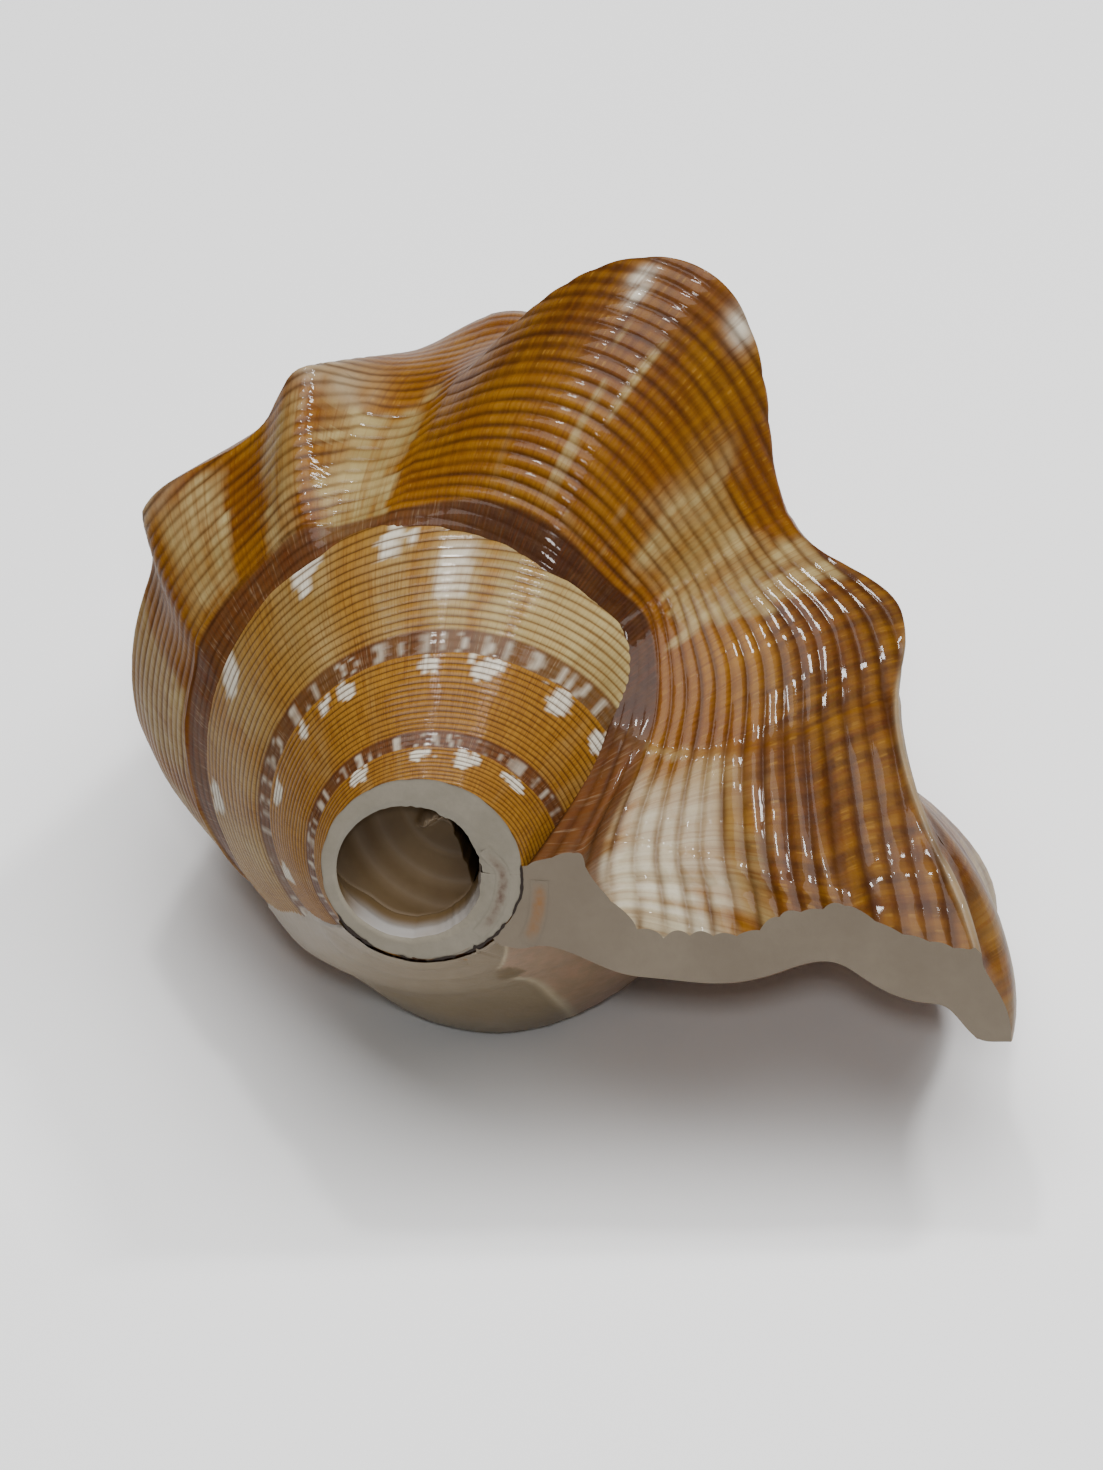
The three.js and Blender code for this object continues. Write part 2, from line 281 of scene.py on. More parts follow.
def relief(angle, s):
    """Height of cords, bars and growth lines above the bare skin, in millimetres."""
    size = regular_radius(angle) / LIP_SUTURE_RADIUS
    last = last_turn(angle)
    near_lip = smooth(angle, -52, -24)
    on_knob = hump(angle, -90, 26, 30) * last
    cord = np.abs(np.sin(np.pi * cord_place(angle, s))) ** 0.7
    strength = CORD_HEIGHT + LAST_TURN_EXTRA * last + LARGE_KNOB_EXTRA * on_knob
    strength = strength + LIP_EXTRA * near_lip * smooth(s, 0.1, 0.3)
    strength = strength * (0.55 + 0.9 * layered(angle / 25, cord_place(angle, s) / 2, 5))
    in_band = 1 - smooth(s, band_edge(angle) - 0.02, band_edge(angle) + 0.01)
    strength = strength * (1 - 0.75 * in_band * (1 - near_lip))
    strength = strength * (1 - 0.5 * smooth(s, 1.0, 1.2))
    height = strength * (cord - 0.6)
    # axial threads, which bead the cords where they cross
    threads = layered(angle * (0.9 - 0.3 * last), s * 2.5, 11, 3) - 0.5
    height = height + THREAD_HEIGHT * size * threads
    # riblets across the band of the older turns
    riblets = bar_wave(angle) * in_band * (1 - last) * smooth(s, 0.01, 0.05)
    height = height + RIBLET_HEIGHT * size * riblets
    # a low, knotty ridge outside the band of the last turn
    knots = 0.4 + 0.9 * noise(angle / 4, 3, 14)
    ridge = hump(s, band_edge(angle) + 0.02, 0.015, 0.015) * last * (1 - smooth(angle, -150, -120))
    height = height + RIDGE_HEIGHT * ridge * knots
    # growth halts: low steps across the wing
    for halt, rise in GROWTH_HALTS:
        x = halt_line(angle, s) - halt
        height = height + rise * smooth(x, -0.5, 0.5) * (1 - smooth(x, 3, 9)) * smooth(s, 0.02, 0.1)
    # keel along the wing's shoulder
    keel = hump(s, 1.0, 0.01, 0.008) * smooth(angle, -40, -30)
    height = height + KEEL_HEIGHT * keel
    # the seam along the suture
    height = height - SEAM_DEPTH * size * np.exp(-((s / 0.01) ** 2))
    # low, broad unevenness
    return height + UNEVENNESS * size * (layered(angle / 14, s * 4, 21, 2) - 0.5)


# Growth angle of each halt and the height of its step.
GROWTH_HALTS = [(-123, 0.12), (-60, 0.15), (-31, 0.3), (-17, 0.2)]

# Pale growth patches of the last turn: growth angle, widths before and after it, where they start
# and stop on the profile, and how pale they are.
PALE_PATCHES = [
    (-225, 8, 14, 0.2, 1.3, 0.4),
    (-197, 13, 11, 0.28, 1.2, 0.5),
    (-165, 8, 7, 0.28, 0.92, 0.6),
    (-146, 5, 5, 0.2, 0.9, 0.5),
    (-131, 9, 8, 0.1, 0.97, 0.95),
    (-62, 16, 12, 0.32, 0.82, 0.6),
    (-54, 4, 6, 0.5, 0.97, 0.6),
    (-31, 1.3, 0.8, 0.02, 0.36, 0.6),
    (-22, 10, 14, 0.36, 0.58, 0.55),
    (-19, 11, 14, 0.2, 0.4, 0.7),
    (-7, 12, 14, 0.13, 0.44, 0.95),
    (-6, 8, 6, 1.03, 1.25, 0.85),
]
# Honey columns that break up the cream of the second turn: growth angle and width.
HONEY_COLUMNS = [(-560, 8), (-541, 5), (-520, 6), (-491, 6), (-474, 3.5), (-457, 1.5), (-447, 1.5)]
# White blotches above the next suture on the older turns: growth angle and width.
BLOTCH_PLACE = 0.87
BLOTCHES = [(-565, 5), (-533, 4), (-503, 3.5), (-481, 4.5)]
BLOTCHES += [(-937, 5), (-904, 5), (-880, 3), (-868, 4), (-858, 3.5), (-828, 4), (-811, 5)]
BLOTCHES += [(-785, 5), (-765, 3.5)]
BLOTCHES += [(-1222, 6), (-1190, 7), (-1168, 6), (-1140, 7)]
# Small worn dabs on the largest knob: growth angle, profile place and their widths.
WHITE_DABS = [(-96, 0.93, 1.1, 0.035), (-95, 0.87, 0.8, 0.04), (-83, 0.97, 1.8, 0.04)]


def span(x, start, stop, soft):
    """1 between two places, fading over a soft margin at both."""
    return smooth(x, start - soft, start + soft) * (1 - smooth(x, stop - soft, stop + soft))


def pale_growth(angle, s):
    cord = np.floor(cord_place(angle, s))
    ragged = 0.6 * layered(angle / 4, s * 9, 31) + 0.6 * noise(angle / 5, cord * 1.37, 32) - 0.6
    streak = layered(angle / 1.3, cord * 0.37, 33) - 0.5
    pale = np.zeros_like(s)
    for centre, before, after, start, stop, strength in PALE_PATCHES:
        x = halt_line(angle, s) + 4.5 * ragged
        patch = smooth(x, centre - before, centre - before * 0.4)
        patch = patch * (1 - smooth(x, centre + after * 0.75, centre + after))
        patch = patch * span(s + 0.2 * ragged, start, stop, 0.06)
        pale = np.maximum(pale, patch * strength * (1 + 1.8 * streak))
    # short radial dashes on the largest knob's flank
    dashes = smooth(noise(angle / 1.7, s * 5, 36), 0.74, 0.88) * span(angle, -100, -48, 6)
    return np.maximum(pale, 0.7 * dashes * span(s, 0.22, 0.75, 0.08))


def old_cream(angle, s):
    """Cream of the second turn and the honey of the turns before it."""
    cord = np.floor(cord_place(angle, s))
    ragged = 0.6 * layered(angle / 4, s * 6, 35) + 0.6 * noise(angle / 6, cord * 1.37, 42) - 0.6
    x = angle + 6 * ragged
    second = smooth(angle, -735, -725)
    cream = second * (0.5 + 0.35 * smooth(angle, -480, -440)) * smooth(angle, -640, -560)
    for centre, width in HONEY_COLUMNS:
        cream = cream * (1 - 0.8 * np.exp(-(((x - centre) / width) ** 2)))
    column = smooth(layered(angle / 7, s, 38), 0.55, 0.75)
    return np.clip(cream + 0.35 * column * (0.4 + ragged), 0, 1)


def masks(angle, s):
    """Markings, each from 0 to 1."""
    last = (angle > -360).astype(float)
    ragged = layered(angle / 3, s * 8, 39) - 0.5
    in_band = 1 - smooth(s, band_edge(angle) - 0.015, band_edge(angle) + 0.015)
    pale = np.where(angle > -360, pale_growth(angle, s), old_cream(angle, s))
    white = np.zeros_like(s)
    for centre, width in BLOTCHES:
        x = (angle - centre) / width
        half = 0.06 + 0.09 * noise(centre, 0, 46)
        inside = 1 + 3.6 * ragged - x**2 - ((s - BLOTCH_PLACE) / half) ** 2
        white = np.maximum(white, smooth(inside, 0, 0.35))
    scar = np.exp(-(((angle + 466 + 6 * ragged) / 4) ** 4)) * span(s, 0.42, 0.8, 0.06)
    white = np.maximum(white, 0.8 * scar)
    for centre, place_s, width, height in WHITE_DABS:
        dab = np.exp(-(((angle - centre) / width) ** 2) - ((s - place_s) / height) ** 2)
        white = np.maximum(white, 0.9 * dab)
    # the cream of the wing is nearly white
    on_wing = smooth(halt_line(angle, s), -32, -22) * span(s, 0.1, 0.5, 0.03)
    white = np.maximum(white, 0.5 * pale * on_wing)
    worn = np.zeros_like(s)
    for centre, *_ in KNOBS[:2]:
        tip = np.exp(-(((angle - centre - 2) / 4.5) ** 2) - ((s - 1.02) / 0.09) ** 2)
        worn = np.maximum(worn, tip * (0.35 + 1.1 * noise(angle / 1.5, s * 20, 45)))
    keel = hump(s, 1.0, 0.008, 0.006) * smooth(angle, -42, -32)
    crooked = angle + 4 * (noise(angle / 15, s * 9, 43) - 0.5)
    bars = smooth(bar_wave(crooked) + 0.5 * (noise(angle / 4, s * 14, 41) - 0.6), 0.45, 0.95)
    bars = bars * in_band * (1 - last) * span(s, 0.03, 0.17, 0.02) * (0.3 + noise(angle / 5, 0, 44))
    dark = in_band * last * smooth(angle, -125, -95) * (1 - smooth(angle, -48, -36))
    # brown of the wing's outer half and under the keel
    brown = smooth(angle, -64, -46) * smooth(s + 0.25 * ragged, 0.5, 0.66)
    brown = brown * (1 - smooth(s, 1.2, 1.5))
    brown = np.maximum(brown, 0.8 * smooth(s, 0.55, 0.75) * hump(angle, -98, 16, 22) * last)
    return {
        "cord": cord_place(angle, s),
        "turning": angle,
        "pale": np.clip(pale, 0, 1),
        "white": np.clip(white, 0, 1),
        "worn": np.maximum(worn, keel * 0.7),
        "band": in_band,
        "bars": bars,
        "dark": dark,
        "brown": np.clip(brown, 0, 1),
        "seam": np.exp(-((s / 0.012) ** 2)),
        "side": smooth(s, 1.0, 1.25),
        "older": smooth(-angle, 360, 362) * (1 - in_band),
    }


# ---- Mesh helpers -------------------------------------------------------------------------------

TO_WORLD = (
    Matrix.Scale(0.001, 4)
    @ Matrix.Translation(REST_SHIFT)
    @ Matrix.Rotation(math.radians(90 - REST_PITCH), 4, "X")
    @ Matrix.Rotation(math.radians(REST_ROLL), 4, "Z")
)


def grid_mesh(name, points, layers, flip=False):
    """A mesh of a grid of points, with float layers of the same shape."""
    rows, cols = points.shape[:2]
    mesh = bpy.data.meshes.new(name)
    index = np.arange(rows * cols).reshape(rows, cols)
    quads = np.stack([index[:-1, :-1], index[1:, :-1], index[1:, 1:], index[:-1, 1:]], -1)
    quads = quads.reshape(-1, 4)
    if flip:
        quads = quads[:, ::-1]
    mesh.vertices.add(rows * cols)
    mesh.vertices.foreach_set("co", points.reshape(-1))
    mesh.loops.add(len(quads) * 4)
    mesh.loops.foreach_set("vertex_index", quads.reshape(-1).astype(np.int32))
    mesh.polygons.add(len(quads))
    mesh.polygons.foreach_set("loop_start", np.arange(0, len(quads) * 4, 4, dtype=np.int32))
    mesh.update(calc_edges=True)
    for key, values in layers.items():
        layer = mesh.attributes.new(key, "FLOAT", "POINT")
        layer.data.foreach_set("value", np.ascontiguousarray(values, float).reshape(-1))
    return mesh


def saw_off(mesh):
    """Cuts away what is above the saw plane, and returns the points of the cut."""
    bm = bmesh.new()
    bm.from_mesh(mesh)
    result = bmesh.ops.bisect_plane(
        bm,
        geom=bm.verts[:] + bm.edges[:] + bm.faces[:],
        dist=1e-5,
        plane_co=(0, 0, SAW),
        plane_no=(0, 0, 1),
        clear_outer=True,
    )
    cut = [v.co[:2] for v in result["geom_cut"] if isinstance(v, bmesh.types.BMVert)]
    bm.to_mesh(mesh)
    bm.free()
    return np.array(cut)


def place(mesh, name, material, smooth_faces=True):
    """Turns a mesh of the growing frame into a piece of the resting shell."""
    mesh.transform(TO_WORLD)
    mesh.polygons.foreach_set("use_smooth", [smooth_faces] * len(mesh.polygons))
    mesh.materials.append(material)
    mesh.update()
    piece = bpy.data.objects.new(name, mesh)
    bpy.context.collection.objects.link(piece)
    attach(piece, "root")
    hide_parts("shell")
    return piece


# ---- Materials ----------------------------------------------------------------------------------

HONEY = (0.125, 0.038, 0.0006)
AMBER = (0.19, 0.078, 0.003)
GROOVE_AMBER = (0.095, 0.038, 0.004)
LIGHT_HONEY = (0.27, 0.135, 0.018)
RUST = (0.078, 0.017, 0.001)
BROWN = (0.028, 0.0065, 0.0005)
CREAM = (0.32, 0.25, 0.11)
KHAKI = (0.185, 0.13, 0.045)
WHITE = (0.50, 0.46, 0.37)
PALE_RIM = (0.33, 0.27, 0.17)
MAUVE = (0.055, 0.021, 0.010)
CHOCOLATE = (0.022, 0.0055, 0.0008)
GREY = (0.155, 0.135, 0.098)
LIGHT_GREY = (0.215, 0.19, 0.145)
# darker greys of the wing's sawn face, which are painted shade
SHADED_SAWN_GREY = (0.165, 0.132, 0.092)
SHADED_SAWN_DARK_GREY = (0.125, 0.096, 0.064)
TAUPE = (0.19, 0.14, 0.09)
SALMON = (0.27, 0.15, 0.09)
DEEP_SALMON = (0.22, 0.11, 0.06)
SEPTUM = (0.125, 0.078, 0.032)
SEPTUM_DARK = (0.088, 0.05, 0.018)
LIT_SEPTUM = (0.30, 0.22, 0.14)
LIT_WALL_WHITE = (0.29, 0.275, 0.26)
# dark of the cracks, and painted shadow in the blow hole's open passage
CRACK_AND_SHADE_DARK = (0.02, 0.012, 0.008)
STAIN = (0.19, 0.085, 0.022)
SPOT = (0.085, 0.048, 0.008)
SPIRAL_BROWN = (0.095, 0.055, 0.035)
YELLOW_GREY = (0.15, 0.108, 0.055)
OLD_CREAM = (0.105, 0.072, 0.034)


class Nodes:
    """A small builder of shader nodes."""

    def __init__(self, name):
        self.material = bpy.data.materials.new(name)
        self.material.use_nodes = True
        self.tree = self.material.node_tree
        self.shader = self.tree.nodes["Principled BSDF"]

    def add(self, kind, **values):
        node = self.tree.nodes.new(kind)
        for key, value in values.items():
            setattr(node, key, value)
        return node

    def link(self, source, target):
        self.tree.links.new(source, target)

    def attribute(self, name):
        node = self.add("ShaderNodeAttribute", attribute_name=name)
        return node.outputs["Fac"]

    def set_or_link(self, socket, value):
        if isinstance(value, bpy.types.NodeSocket):
            self.link(value, socket)
        elif isinstance(value, tuple):
            socket.default_value = (*value, 1)
        else:
            socket.default_value = value

    def mix(self, a, b, share):
        node = self.add("ShaderNodeMix", data_type="RGBA")
        self.set_or_link(node.inputs[0], share)
        self.set_or_link(node.inputs[6], a)
        self.set_or_link(node.inputs[7], b)
        return node.outputs[2]

    def math(self, operation, a, b=0.0, clamp=False):
        node = self.add("ShaderNodeMath", operation=operation, use_clamp=clamp)
        self.set_or_link(node.inputs[0], a)
        self.set_or_link(node.inputs[1], b)
        return node.outputs[0]

    def noise(self, scale, detail=4.0, roughness=0.55):
        where = self.add("ShaderNodeTexCoord").outputs["Object"]
        node = self.add("ShaderNodeTexNoise")
        self.link(where, node.inputs["Vector"])
        node.inputs["Scale"].default_value = scale
        node.inputs["Detail"].default_value = detail
        node.inputs["Roughness"].default_value = roughness
        return node.outputs["Fac"]

    def wave_noise(self, first, first_scale, second, second_scale):
        """Noise over two attributes, so that it follows the growth lines."""
        where = self.add("ShaderNodeCombineXYZ")
        self.link(self.math("MULTIPLY", self.attribute(first), first_scale), where.inputs[0])
        self.link(self.math("MULTIPLY", self.attribute(second), second_scale), where.inputs[1])
        node = self.add("ShaderNodeTexNoise")
        self.link(where.outputs[0], node.inputs["Vector"])
        node.inputs["Scale"].default_value = 1.0
        node.inputs["Detail"].default_value = 3.0
        return node.outputs["Fac"]

    def ramp(self, value, low, high):
        node = self.add("ShaderNodeMapRange", interpolation_type="SMOOTHSTEP")
        self.link(value, node.inputs["Value"])
        node.inputs["From Min"].default_value = low
        node.inputs["From Max"].default_value = high
        return node.outputs["Result"]

    def bump(self, height, strength, distance):
        node = self.add("ShaderNodeBump")
        self.link(height, node.inputs["Height"])
        node.inputs["Strength"].default_value = strength
        node.inputs["Distance"].default_value = distance
        self.link(node.outputs["Normal"], self.shader.inputs["Normal"])

    def gloss(self, roughness, coat=0.0, coat_roughness=0.05, level=0.4):
        self.shader.inputs["Specular IOR Level"].default_value = level
        self.set_or_link(self.shader.inputs["Roughness"], roughness)
        self.shader.inputs["Coat Weight"].default_value = coat
        self.shader.inputs["Coat Roughness"].default_value = coat_roughness


def skin_material():
    n = Nodes("polished_skin")
    clouds = n.ramp(n.noise(90.0, 3.0), 0.35, 0.7)
    fine = n.ramp(n.noise(600.0, 3.0), 0.3, 0.75)
    streaks = n.ramp(n.wave_noise("turning", 0.9, "cord", 0.25), 0.35, 0.7)
    dark_threads = n.ramp(n.wave_noise("turning", 2.6, "cord", 0.16), 0.5, 0.66)
    light_threads = n.ramp(n.wave_noise("turning", 2.1, "cord", 0.3), 0.56, 0.7)
    older = n.attribute("older")
    # grooves between the cords: thin and dark on the older turns, soft and uneven on the last
    wave = n.math("ABSOLUTE", n.math("SINE", n.math("MULTIPLY", n.attribute("cord"), math.pi)))
    thin = n.math("SUBTRACT", 1.0, n.ramp(wave, 0.05, 0.62))
    soft = n.math("SUBTRACT", 1.0, n.ramp(wave, 0.1, 0.95))
    uneven = n.ramp(n.wave_noise("turning", 0.06, "cord", 0.9), 0.3, 0.7)
    soft = n.math("MULTIPLY", soft, n.math("ADD", 0.25, n.math("MULTIPLY", uneven, 0.55)))
    exposed = n.math("SUBTRACT", 1.0, n.math("MULTIPLY", n.attribute("side"), 0.6))
    soft = n.math("MULTIPLY", soft, exposed)
    thin_share = n.math("ADD", 0.3, n.math("MULTIPLY", older, 0.5))
    groove = n.math("MAXIMUM", n.math("MULTIPLY", thin, thin_share), soft)
    # painted highlight: lighter honey along the crests of the cords on the last turns
    crest_highlight = n.math("MULTIPLY", n.ramp(wave, 0.7, 1.0), n.math("SUBTRACT", 1.0, older))
    colour = n.mix(HONEY, AMBER, clouds)
    colour = n.mix(colour, LIGHT_HONEY, n.math("MULTIPLY", older, 0.55))
    colour = n.mix(colour, RUST, n.math("MULTIPLY", streaks, 0.35))
    burnt = n.math("ADD", 0.35, n.math("MULTIPLY", streaks, 0.5))
    colour = n.mix(colour, BROWN, n.math("MULTIPLY", n.attribute("brown"), burnt))
    # strength of the painted highlight on the crests
    highlight_strength = n.math("ADD", 0.12, n.math("MULTIPLY", light_threads, 0.35))
    colour = n.mix(colour, LIGHT_HONEY, n.math("MULTIPLY", crest_highlight, highlight_strength))
    cream = n.mix(CREAM, KHAKI, clouds)
    cream = n.mix(cream, AMBER, n.math("MULTIPLY", dark_threads, 0.15))
    colour = n.mix(colour, cream, n.attribute("pale"))
    colour = n.mix(colour, WHITE, n.attribute("white"))
    band = n.mix(MAUVE, RUST, n.math("MULTIPLY", streaks, 0.6))
    band = n.mix(band, TAUPE, n.math("MULTIPLY", light_threads, 0.5))
    colour = n.mix(colour, band, n.math("MULTIPLY", n.attribute("band"), 0.85))
    colour = n.mix(colour, CHOCOLATE, n.math("MULTIPLY", n.attribute("dark"), 0.8))
    unbleached = n.math("SUBTRACT", 1.0, n.math("MULTIPLY", n.attribute("pale"), 0.7))
    unbleached = n.math("SUBTRACT", unbleached, n.math("MULTIPLY", n.attribute("white"), 0.3))
    rusty = n.math("MULTIPLY", dark_threads, n.math("MULTIPLY", unbleached, 0.4))
    colour = n.mix(colour, RUST, rusty)
    colour = n.mix(colour, PALE_RIM, n.math("MULTIPLY", n.attribute("worn"), 0.75))
    groove_colour = n.mix(BROWN, GROOVE_AMBER, n.math("MULTIPLY", n.attribute("pale"), 0.8))
    colour = n.mix(colour, groove_colour, groove)
    colour = n.mix(colour, WHITE, n.math("MULTIPLY", n.attribute("bars"), 0.55))
    colour = n.mix(colour, CHOCOLATE, n.attribute("seam"))
    colour = n.mix(colour, AMBER, n.math("MULTIPLY", fine, 0.1))
    n.link(colour, n.shader.inputs["Base Color"])
    n.gloss(0.55, 0.17, 0.05, 0.1)
    # fine axial threads
    thread = n.math("SINE", n.math("MULTIPLY", n.attribute("turning"), 6.5))
    height = n.math("ADD", n.math("MULTIPLY", thread, 0.12), n.noise(1500.0, 2.0))
    n.bump(height, 0.3, 0.0002)
    return n.material


def plain_material(name, light, dark, scale, roughness, coat=0.0, stain=None):
    n = Nodes(name)
    clouds = n.ramp(n.noise(scale, 4.0), 0.3, 0.7)
    grains = n.ramp(n.noise(scale * 9, 3.0), 0.35, 0.75)
    colour = n.mix(light, dark, n.math("MULTIPLY", clouds, 0.6))
    colour = n.mix(colour, dark, n.math("MULTIPLY", grains, 0.25))
    if stain:
        uneven = n.math("ADD", 0.35, n.math("MULTIPLY", grains, 0.5))
        share = n.math("MULTIPLY", n.attribute("stained"), uneven, True)
        colour = n.mix(colour, stain, share)
        colour = n.mix(colour, PALE_RIM, n.attribute("ridge"))
        colour = n.mix(colour, SPOT, n.attribute("spot"))
    n.link(colour, n.shader.inputs["Base Color"])
    n.gloss(roughness, coat, 0.1)
    n.bump(n.noise(scale * 12, 3.0), 0.2, 0.0003)
    return n.material


def bore_material():
    n = Nodes("bore_wall")
    clouds = n.ramp(n.noise(120.0), 0.3, 0.7)
    # painted highlight: the upper part of the wall on the ventral side is lightened towards white
    lit_wall_colour = n.mix(LIT_WALL_WHITE, TAUPE, n.math("MULTIPLY", clouds, 0.4))
    n.link(n.mix(SEPTUM, lit_wall_colour, n.attribute("lit")), n.shader.inputs["Base Color"])
    n.gloss(0.4, 0.2, 0.1)
    return n.material


def septum_material():
    n = Nodes("inner_wall")
    clouds = n.ramp(n.noise(120.0), 0.3, 0.7)
    colour = n.mix(SEPTUM, SEPTUM_DARK, clouds)
    # painted light on the stub's broken top, a lighter ring round the floor's edge and lighter
    # growth arcs; painted shadow, near black, in the open passage where the light value is negative
    colour = n.mix(colour, LIT_SEPTUM, n.math("MULTIPLY", n.attribute("light"), 1.0, True))
    deep = n.math("MULTIPLY", n.attribute("light"), -1.0, True)
    n.link(n.mix(colour, CRACK_AND_SHADE_DARK, deep), n.shader.inputs["Base Color"])
    n.gloss(0.5)
    return n.material


SKIN = skin_material()
SAWN = plain_material("sawn_face", LIGHT_GREY, GREY, 160.0, 0.55)
# painted shade: the wing's sawn face lies in the ring's saw plane but gets darker greys
SHADED_SAWN_WING = plain_material("shaded_sawn_wing_face", SHADED_SAWN_GREY, SHADED_SAWN_DARK_GREY, 90.0, 0.5)
SEPTUM_MATERIAL = septum_material()
BORE_WALL = bore_material()
CRACK_MATERIAL = plain_material("crack", CRACK_AND_SHADE_DARK, CRACK_AND_SHADE_DARK, 100.0, 0.9)
# a real orange stain over the same darker greys of painted shade
STAINED_SHADED_WING = plain_material("stained_shaded_face", SHADED_SAWN_GREY, SHADED_SAWN_DARK_GREY, 90.0, 0.5, 0.0, STAIN)
STAINED_RING = plain_material("spiral_line", LIGHT_GREY, GREY, 160.0, 0.55, 0.0, SPIRAL_BROWN)
CALLUS = plain_material("callus", YELLOW_GREY, OLD_CREAM, 60.0, 0.4, 0.08, SALMON)
MOUTH = plain_material("mouth_lining", SALMON, DEEP_SALMON, 50.0, 0.25, 0.4)

# ---- Outer skin ---------------------------------------------------------------------------------

LIP_DRAWN_BACK = 2.2      # degrees by which the sawn outer corner of the lip ends early


def lip_end(s):
    return -LIP_DRAWN_BACK * (1 - smooth(s, 1.0, 1.3))


def relieved(angle, s):
    return skin(angle, s) + skin_normal(angle, s) * relief(angle, s)[..., None]


def skin_piece(name, angles, places):
    angle, s = np.meshgrid(angles, places, indexing="ij")
    angle = angle + lip_end(s) * smooth(angle, -20, 0)
    mesh = grid_mesh(name, relieved(angle, s), masks(angle, s))
    cut = saw_off(mesh)
    place(mesh, name, SKIN)
    return cut


RAMP_END = 1.04
WING_START = -130.0
skin_piece("last_turn_ramp", np.arange(-372, WING_START + 0.1, 1.1), np.linspace(0, RAMP_END, 200))
wing_angles = np.linspace(WING_START - 0.2, 0, 220)
ramp_cut = skin_piece("wing_ramp", wing_angles, np.linspace(0, RAMP_END, 270))
side_cut = skin_piece("last_turn_side", np.linspace(-540, 0, 420), np.linspace(RAMP_END, 2, 190))
spire_cut = skin_piece("spire", np.linspace(FIRST_ANGLE, -359, 640), np.linspace(0, 1.06, 140))

# ---- Inside of the wing and the mouth -----------------------------------------------------------

WALL = 4.0
ROOF = 6.0
INNER_END = 2.0
EDGE_SLOPE = 1.3          # how fast the lining drops away behind the sawn edge, per degree
END_THINNING = 0.88       # share of its wall that the lining has lost at the canal's end

# The sawn face's lower edge, in the saw plane: y over x, from beside the ring to the corner.
EDGE_START = 12.6
EDGE_STOP = 62.9
EDGE_LEVEL = -9.2
EDGE_STEPS = [(-3.9, 12.7, 24), (-1.0, 22, 34), (-2.3, 46, 57), (-4.8, 57.5, 62.5)]
EDGE_HUMPS = [(45, 3.0, 6.5, 4.5), (10.8, -0.6, 1.4, 1.2)]


def lower_edge(start, points):
    x = np.linspace(start, EDGE_STOP, points)
    return x, EDGE_LEVEL + changes(x, EDGE_STEPS) + humps(x, EDGE_HUMPS)


def edge_places():
    """Growth angle, profile place and height above the saw plane over each point of that edge."""
    x, y = lower_edge(EDGE_START, 40)
    angle = LIP_AZIMUTH - np.degrees(np.arctan2(y, x))
    inner = suture(angle)[0]
    s = (np.hypot(x, y) - inner) / (shoulder(angle)[0] - inner)
    return angle, s, profile(angle, np.minimum(s, 1))[1] - SAW


EDGE_ANGLE, EDGE_S, EDGE_DROP = edge_places()


def lining_point(angle, s):
    """Inside of the wing and of the last turn's outer wall, under the same place of the skin."""
    edge_angle = np.interp(s, EDGE_S, EDGE_ANGLE)
    edge_drop = np.interp(s, EDGE_S, EDGE_DROP)
    inward = edge_angle - angle
    drop = edge_drop + (ROOF - edge_drop) * smooth(inward, 3, 30)
    drop = drop + EDGE_SLOPE * np.clip(inward, -2, 3) * (1 - smooth(inward, 8, 35))
    # away from the lip the wall is measured sideways already below the shoulder
    deep = smooth(inward, 6, 26)
    on_ramp = 1 - smooth(s, 0.97 - 0.13 * deep, 1.14 - 0.13 * deep)
    sideways = smooth(s, 0.95 - 0.15 * deep, 1.14 - 0.15 * deep)
    r, z = profile(angle, s)
    r = r - WALL * np.clip(s, 0, 1.2) * (1 - END_THINNING * smooth(s, 1.5, 2.0)) * sideways
    z = z - drop * on_ramp
    ripple = 0.25 * (layered(angle / 15, s * 5, 51) - 0.5)
    a = np.radians(LIP_AZIMUTH - angle + lean(z))
    return np.stack([(r + ripple) * np.cos(a), (r + ripple) * np.sin(a), z], -1)


def lining():
    """Round the lip's edge and inwards along the passage's outer wall."""
    places = np.concatenate([np.linspace(EDGE_S[0], 1.02, 110), np.linspace(1.03, INNER_END, 110)])
    blend = smooth(places, 1.0, 1.05)
    start = (np.interp(places, EDGE_S, EDGE_ANGLE) + 1) * (1 - blend) + lip_end(places) * blend
    start = np.where(places > 0.97, np.minimum(start, lip_end(places)), start)
    outer = relieved(start, places)
    inner = lining_point(start, places)
    middle = (outer + inner) / 2
    ahead = skin(start + 0.5, places) - skin(start - 0.5, places)
    ahead /= np.linalg.norm(ahead, axis=-1, keepdims=True)
    half = np.linalg.norm(outer - inner, axis=-1, keepdims=True) / 2
    rim_steps = 12
    columns = []
    for k in range(rim_steps):
        a = math.pi * k / rim_steps
        bulge = half * (0.05 + 0.65 * smooth(places, 1.15, 1.4)[:, None]) * math.sin(a)
        columns.append(middle + (outer - middle) * math.cos(a) + ahead * bulge)
    depth = np.concatenate([np.linspace(0, 16, 17), np.arange(18.5, 420, 2.5)])
    for inward in depth:
        columns.append(lining_point(start - inward, places))
    return np.stack(columns)


lining_mesh = grid_mesh("lining", lining(), {}, flip=True)
saw_off(lining_mesh)
place(lining_mesh, "lining", MOUTH)

# ---- Sawn faces ---------------------------------------------------------------------------------

